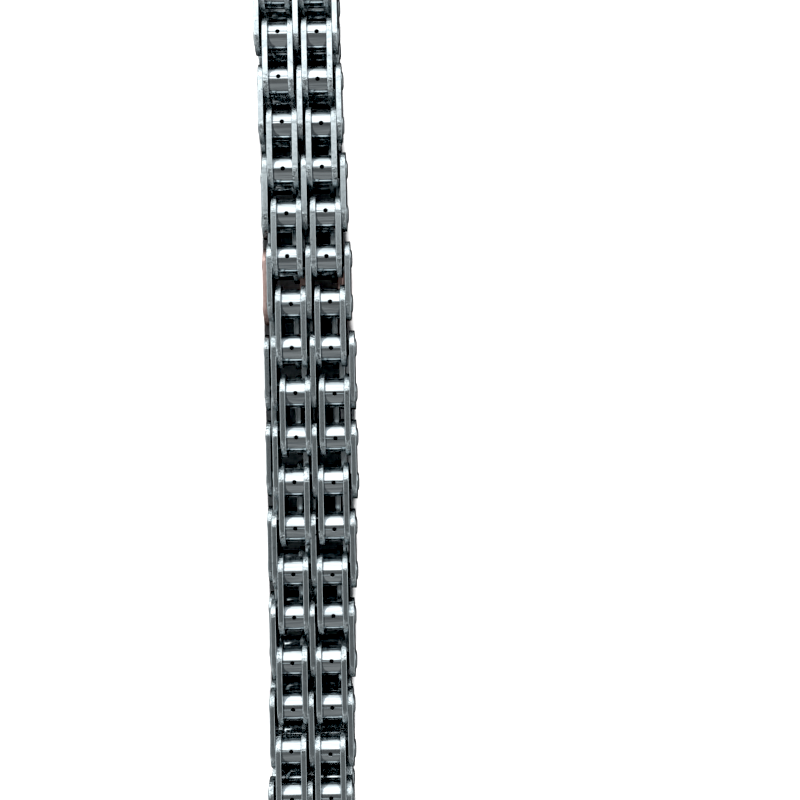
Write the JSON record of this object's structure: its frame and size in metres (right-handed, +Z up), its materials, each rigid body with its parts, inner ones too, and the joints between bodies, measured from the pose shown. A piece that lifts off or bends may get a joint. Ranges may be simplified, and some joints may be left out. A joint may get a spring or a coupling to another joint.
{
  "type": "timing chain",
  "caption": "Endless duplex bush chain with oil holes in its bushes and riveted pins, folded flat with one run over the other; it opens into a ring and meshes with a double sprocket.",
  "frame": {"origin": "middle of the footprint, on the surface that the chain lies on", "axes": "+X along the pins, +Y along the runs, +Z up from the lower run to the upper run"},
  "size_m": [0.021, 0.189, 0.0176],
  "materials": {
    "link_steel": "oiled, satin to bright",
    "pin_steel": "oiled, ground",
    "copper_plated_steel": "copper plating as a timing mark"
  },
  "bodies": {
    "link_01": {"inner_link_01": "link_steel"},
    "link_02": {"outer_link_02_plates": "link_steel", "outer_link_02_pins": "pin_steel"},
    "link_03": {"inner_link_03": "link_steel"},
    "link_04": {"outer_link_04_marked_plates": "copper_plated_steel", "outer_link_04_pins": "pin_steel"},
    "link_05": {"inner_link_05": "link_steel"},
    "link_06": {"outer_link_06_plates": "link_steel", "outer_link_06_pins": "pin_steel"},
    "link_07": {"inner_link_07": "link_steel"},
    "link_08": {"outer_link_08_plates": "link_steel", "outer_link_08_pins": "pin_steel"},
    "link_09": {"inner_link_09": "link_steel"},
    "link_10": {"outer_link_10_plates": "link_steel", "outer_link_10_pins": "pin_steel"},
    "link_11": {"inner_link_11": "link_steel"},
    "link_12": {"outer_link_12_plates": "link_steel", "outer_link_12_pins": "pin_steel"},
    "link_13": {"inner_link_13": "link_steel"},
    "link_14": {"outer_link_14_plates": "link_steel", "outer_link_14_pins": "pin_steel"},
    "link_15": {"inner_link_15": "link_steel"},
    "link_16": {"outer_link_16_plates": "link_steel", "outer_link_16_pins": "pin_steel"},
    "link_17": {"inner_link_17": "link_steel"},
    "link_18": {"outer_link_18_plates": "link_steel", "outer_link_18_pins": "pin_steel"},
    "link_19": {"inner_link_19": "link_steel"},
    "link_20": {"outer_link_20_plates": "link_steel", "outer_link_20_pins": "pin_steel"},
    "link_21": {"inner_link_21": "link_steel"},
    "link_22": {"outer_link_22_plates": "link_steel", "outer_link_22_pins": "pin_steel"},
    "link_23": {"inner_link_23": "link_steel"},
    "link_24": {"outer_link_24_plates": "link_steel", "outer_link_24_pins": "pin_steel"},
    "link_25": {"inner_link_25": "link_steel"},
    "link_26": {"outer_link_26_plates": "link_steel", "outer_link_26_pins": "pin_steel"},
    "link_27": {"inner_link_27": "link_steel"},
    "link_28": {"outer_link_28_plates": "link_steel", "outer_link_28_pins": "pin_steel"},
    "link_29": {"inner_link_29": "link_steel"},
    "link_30": {"outer_link_30_plates": "link_steel", "outer_link_30_pins": "pin_steel"},
    "link_31": {"inner_link_31": "link_steel"},
    "link_32": {"outer_link_32_plates": "link_steel", "outer_link_32_pins": "pin_steel"},
    "link_33": {"inner_link_33": "link_steel"},
    "link_34": {"outer_link_34_plates": "link_steel", "outer_link_34_pins": "pin_steel"},
    "link_35": {"inner_link_35": "link_steel"},
    "link_36": {"outer_link_36_plates": "link_steel", "outer_link_36_pins": "pin_steel"},
    "link_37": {"inner_link_37": "link_steel"},
    "link_38": {"outer_link_38_plates": "link_steel", "outer_link_38_pins": "pin_steel"},
    "link_39": {"inner_link_39": "link_steel"},
    "link_40": {"outer_link_40_plates": "link_steel", "outer_link_40_pins": "pin_steel"}
  },
  "joints": [
    {"name": "pin_joint_01", "type": "hinge", "parent": "link_01", "child": "link_02", "pos_m": [0, 0.00476, 0.00405], "axis": [1, 0, 0], "range_deg": [0, 9]},
    {"name": "pin_joint_02", "type": "hinge", "parent": "link_02", "child": "link_03", "pos_m": [0, 0.01429, 0.00405], "axis": [1, 0, 0], "range_deg": [0, 9]},
    {"name": "pin_joint_03", "type": "hinge", "parent": "link_03", "child": "link_04", "pos_m": [0, 0.02381, 0.00405], "axis": [1, 0, 0], "range_deg": [0, 9]},
    {"name": "pin_joint_04", "type": "hinge", "parent": "link_04", "child": "link_05", "pos_m": [0, 0.03334, 0.00405], "axis": [1, 0, 0], "range_deg": [0, 9]},
    {"name": "pin_joint_05", "type": "hinge", "parent": "link_05", "child": "link_06", "pos_m": [0, 0.04286, 0.00405], "axis": [1, 0, 0], "range_deg": [0, 9]},
    {"name": "pin_joint_06", "type": "hinge", "parent": "link_06", "child": "link_07", "pos_m": [0, 0.05239, 0.00405], "axis": [1, 0, 0], "range_deg": [0, 9]},
    {"name": "pin_joint_07", "type": "hinge", "parent": "link_07", "child": "link_08", "pos_m": [0, 0.06191, 0.00405], "axis": [1, 0, 0], "range_deg": [0, 9]},
    {"name": "pin_joint_08", "type": "hinge", "parent": "link_08", "child": "link_09", "pos_m": [0, 0.07144, 0.00405], "axis": [1, 0, 0], "range_deg": [0, 9]},
    {"name": "pin_joint_09", "type": "hinge", "parent": "link_09", "child": "link_10", "pos_m": [0, 0.08096, 0.00405], "axis": [1, 0, 0], "range_deg": [0, 9]},
    {"name": "pin_joint_10", "type": "hinge", "parent": "link_10", "child": "link_11", "pos_m": [0, 0.09049, 0.00405], "axis": [1, 0, 0], "range_deg": [-81, 0]},
    {"name": "pin_joint_11", "type": "hinge", "parent": "link_11", "child": "link_12", "pos_m": [0, 0.09049, 0.01358], "axis": [1, 0, 0], "range_deg": [-81, 0]},
    {"name": "pin_joint_12", "type": "hinge", "parent": "link_12", "child": "link_13", "pos_m": [0, 0.08096, 0.01358], "axis": [1, 0, 0], "range_deg": [0, 9]},
    {"name": "pin_joint_13", "type": "hinge", "parent": "link_13", "child": "link_14", "pos_m": [0, 0.07144, 0.01358], "axis": [1, 0, 0], "range_deg": [0, 9]},
    {"name": "pin_joint_14", "type": "hinge", "parent": "link_14", "child": "link_15", "pos_m": [0, 0.06191, 0.01358], "axis": [1, 0, 0], "range_deg": [0, 9]},
    {"name": "pin_joint_15", "type": "hinge", "parent": "link_15", "child": "link_16", "pos_m": [0, 0.05239, 0.01358], "axis": [1, 0, 0], "range_deg": [0, 9]},
    {"name": "pin_joint_16", "type": "hinge", "parent": "link_16", "child": "link_17", "pos_m": [0, 0.04286, 0.01358], "axis": [1, 0, 0], "range_deg": [0, 9]},
    {"name": "pin_joint_17", "type": "hinge", "parent": "link_17", "child": "link_18", "pos_m": [0, 0.03334, 0.01358], "axis": [1, 0, 0], "range_deg": [0, 9]},
    {"name": "pin_joint_18", "type": "hinge", "parent": "link_18", "child": "link_19", "pos_m": [0, 0.02381, 0.01358], "axis": [1, 0, 0], "range_deg": [0, 9]},
    {"name": "pin_joint_19", "type": "hinge", "parent": "link_19", "child": "link_20", "pos_m": [0, 0.01429, 0.01358], "axis": [1, 0, 0], "range_deg": [0, 9]},
    {"name": "pin_joint_20", "type": "hinge", "parent": "link_20", "child": "link_21", "pos_m": [0, 0.00476, 0.01358], "axis": [1, 0, 0], "range_deg": [0, 9]},
    {"name": "pin_joint_21", "type": "hinge", "parent": "link_21", "child": "link_22", "pos_m": [0, -0.00476, 0.01358], "axis": [1, 0, 0], "range_deg": [0, 9]},
    {"name": "pin_joint_22", "type": "hinge", "parent": "link_22", "child": "link_23", "pos_m": [0, -0.01429, 0.01358], "axis": [1, 0, 0], "range_deg": [0, 9]},
    {"name": "pin_joint_23", "type": "hinge", "parent": "link_23", "child": "link_24", "pos_m": [0, -0.02381, 0.01358], "axis": [1, 0, 0], "range_deg": [0, 9]},
    {"name": "pin_joint_24", "type": "hinge", "parent": "link_24", "child": "link_25", "pos_m": [0, -0.03334, 0.01358], "axis": [1, 0, 0], "range_deg": [0, 9]},
    {"name": "pin_joint_25", "type": "hinge", "parent": "link_25", "child": "link_26", "pos_m": [0, -0.04286, 0.01358], "axis": [1, 0, 0], "range_deg": [0, 9]},
    {"name": "pin_joint_26", "type": "hinge", "parent": "link_26", "child": "link_27", "pos_m": [0, -0.05239, 0.01358], "axis": [1, 0, 0], "range_deg": [0, 9]},
    {"name": "pin_joint_27", "type": "hinge", "parent": "link_27", "child": "link_28", "pos_m": [0, -0.06191, 0.01358], "axis": [1, 0, 0], "range_deg": [0, 9]},
    {"name": "pin_joint_28", "type": "hinge", "parent": "link_28", "child": "link_29", "pos_m": [0, -0.07144, 0.01358], "axis": [1, 0, 0], "range_deg": [0, 9]},
    {"name": "pin_joint_29", "type": "hinge", "parent": "link_29", "child": "link_30", "pos_m": [0, -0.08096, 0.01358], "axis": [1, 0, 0], "range_deg": [0, 9]},
    {"name": "pin_joint_30", "type": "hinge", "parent": "link_30", "child": "link_31", "pos_m": [0, -0.09049, 0.01358], "axis": [1, 0, 0], "range_deg": [-81, 0]},
    {"name": "pin_joint_31", "type": "hinge", "parent": "link_31", "child": "link_32", "pos_m": [0, -0.09049, 0.00405], "axis": [1, 0, 0], "range_deg": [-81, 0]},
    {"name": "pin_joint_32", "type": "hinge", "parent": "link_32", "child": "link_33", "pos_m": [0, -0.08096, 0.00405], "axis": [1, 0, 0], "range_deg": [0, 9]},
    {"name": "pin_joint_33", "type": "hinge", "parent": "link_33", "child": "link_34", "pos_m": [0, -0.07144, 0.00405], "axis": [1, 0, 0], "range_deg": [0, 9]},
    {"name": "pin_joint_34", "type": "hinge", "parent": "link_34", "child": "link_35", "pos_m": [0, -0.06191, 0.00405], "axis": [1, 0, 0], "range_deg": [0, 9]},
    {"name": "pin_joint_35", "type": "hinge", "parent": "link_35", "child": "link_36", "pos_m": [0, -0.05239, 0.00405], "axis": [1, 0, 0], "range_deg": [0, 9]},
    {"name": "pin_joint_36", "type": "hinge", "parent": "link_36", "child": "link_37", "pos_m": [0, -0.04286, 0.00405], "axis": [1, 0, 0], "range_deg": [0, 9]},
    {"name": "pin_joint_37", "type": "hinge", "parent": "link_37", "child": "link_38", "pos_m": [0, -0.03334, 0.00405], "axis": [1, 0, 0], "range_deg": [0, 9]},
    {"name": "pin_joint_38", "type": "hinge", "parent": "link_38", "child": "link_39", "pos_m": [0, -0.02381, 0.00405], "axis": [1, 0, 0], "range_deg": [0, 9]},
    {"name": "pin_joint_39", "type": "hinge", "parent": "link_39", "child": "link_40", "pos_m": [0, -0.01429, 0.00405], "axis": [1, 0, 0], "range_deg": [0, 9]}
  ],
  "couplings": [
    {"joint": "pin_joint_02", "follows": "pin_joint_01", "ratio": 1},
    {"joint": "pin_joint_03", "follows": "pin_joint_01", "ratio": 1},
    {"joint": "pin_joint_04", "follows": "pin_joint_01", "ratio": 1},
    {"joint": "pin_joint_05", "follows": "pin_joint_01", "ratio": 1},
    {"joint": "pin_joint_06", "follows": "pin_joint_01", "ratio": 1},
    {"joint": "pin_joint_07", "follows": "pin_joint_01", "ratio": 1},
    {"joint": "pin_joint_08", "follows": "pin_joint_01", "ratio": 1},
    {"joint": "pin_joint_09", "follows": "pin_joint_01", "ratio": 1},
    {"joint": "pin_joint_10", "follows": "pin_joint_01", "ratio": -9},
    {"joint": "pin_joint_11", "follows": "pin_joint_01", "ratio": -9},
    {"joint": "pin_joint_12", "follows": "pin_joint_01", "ratio": 1},
    {"joint": "pin_joint_13", "follows": "pin_joint_01", "ratio": 1},
    {"joint": "pin_joint_14", "follows": "pin_joint_01", "ratio": 1},
    {"joint": "pin_joint_15", "follows": "pin_joint_01", "ratio": 1},
    {"joint": "pin_joint_16", "follows": "pin_joint_01", "ratio": 1},
    {"joint": "pin_joint_17", "follows": "pin_joint_01", "ratio": 1},
    {"joint": "pin_joint_18", "follows": "pin_joint_01", "ratio": 1},
    {"joint": "pin_joint_19", "follows": "pin_joint_01", "ratio": 1},
    {"joint": "pin_joint_20", "follows": "pin_joint_01", "ratio": 1},
    {"joint": "pin_joint_21", "follows": "pin_joint_01", "ratio": 1},
    {"joint": "pin_joint_22", "follows": "pin_joint_01", "ratio": 1},
    {"joint": "pin_joint_23", "follows": "pin_joint_01", "ratio": 1},
    {"joint": "pin_joint_24", "follows": "pin_joint_01", "ratio": 1},
    {"joint": "pin_joint_25", "follows": "pin_joint_01", "ratio": 1},
    {"joint": "pin_joint_26", "follows": "pin_joint_01", "ratio": 1},
    {"joint": "pin_joint_27", "follows": "pin_joint_01", "ratio": 1},
    {"joint": "pin_joint_28", "follows": "pin_joint_01", "ratio": 1},
    {"joint": "pin_joint_29", "follows": "pin_joint_01", "ratio": 1},
    {"joint": "pin_joint_30", "follows": "pin_joint_01", "ratio": -9},
    {"joint": "pin_joint_31", "follows": "pin_joint_01", "ratio": -9},
    {"joint": "pin_joint_32", "follows": "pin_joint_01", "ratio": 1},
    {"joint": "pin_joint_33", "follows": "pin_joint_01", "ratio": 1},
    {"joint": "pin_joint_34", "follows": "pin_joint_01", "ratio": 1},
    {"joint": "pin_joint_35", "follows": "pin_joint_01", "ratio": 1},
    {"joint": "pin_joint_36", "follows": "pin_joint_01", "ratio": 1},
    {"joint": "pin_joint_37", "follows": "pin_joint_01", "ratio": 1},
    {"joint": "pin_joint_38", "follows": "pin_joint_01", "ratio": 1},
    {"joint": "pin_joint_39", "follows": "pin_joint_01", "ratio": 1}
  ]
}
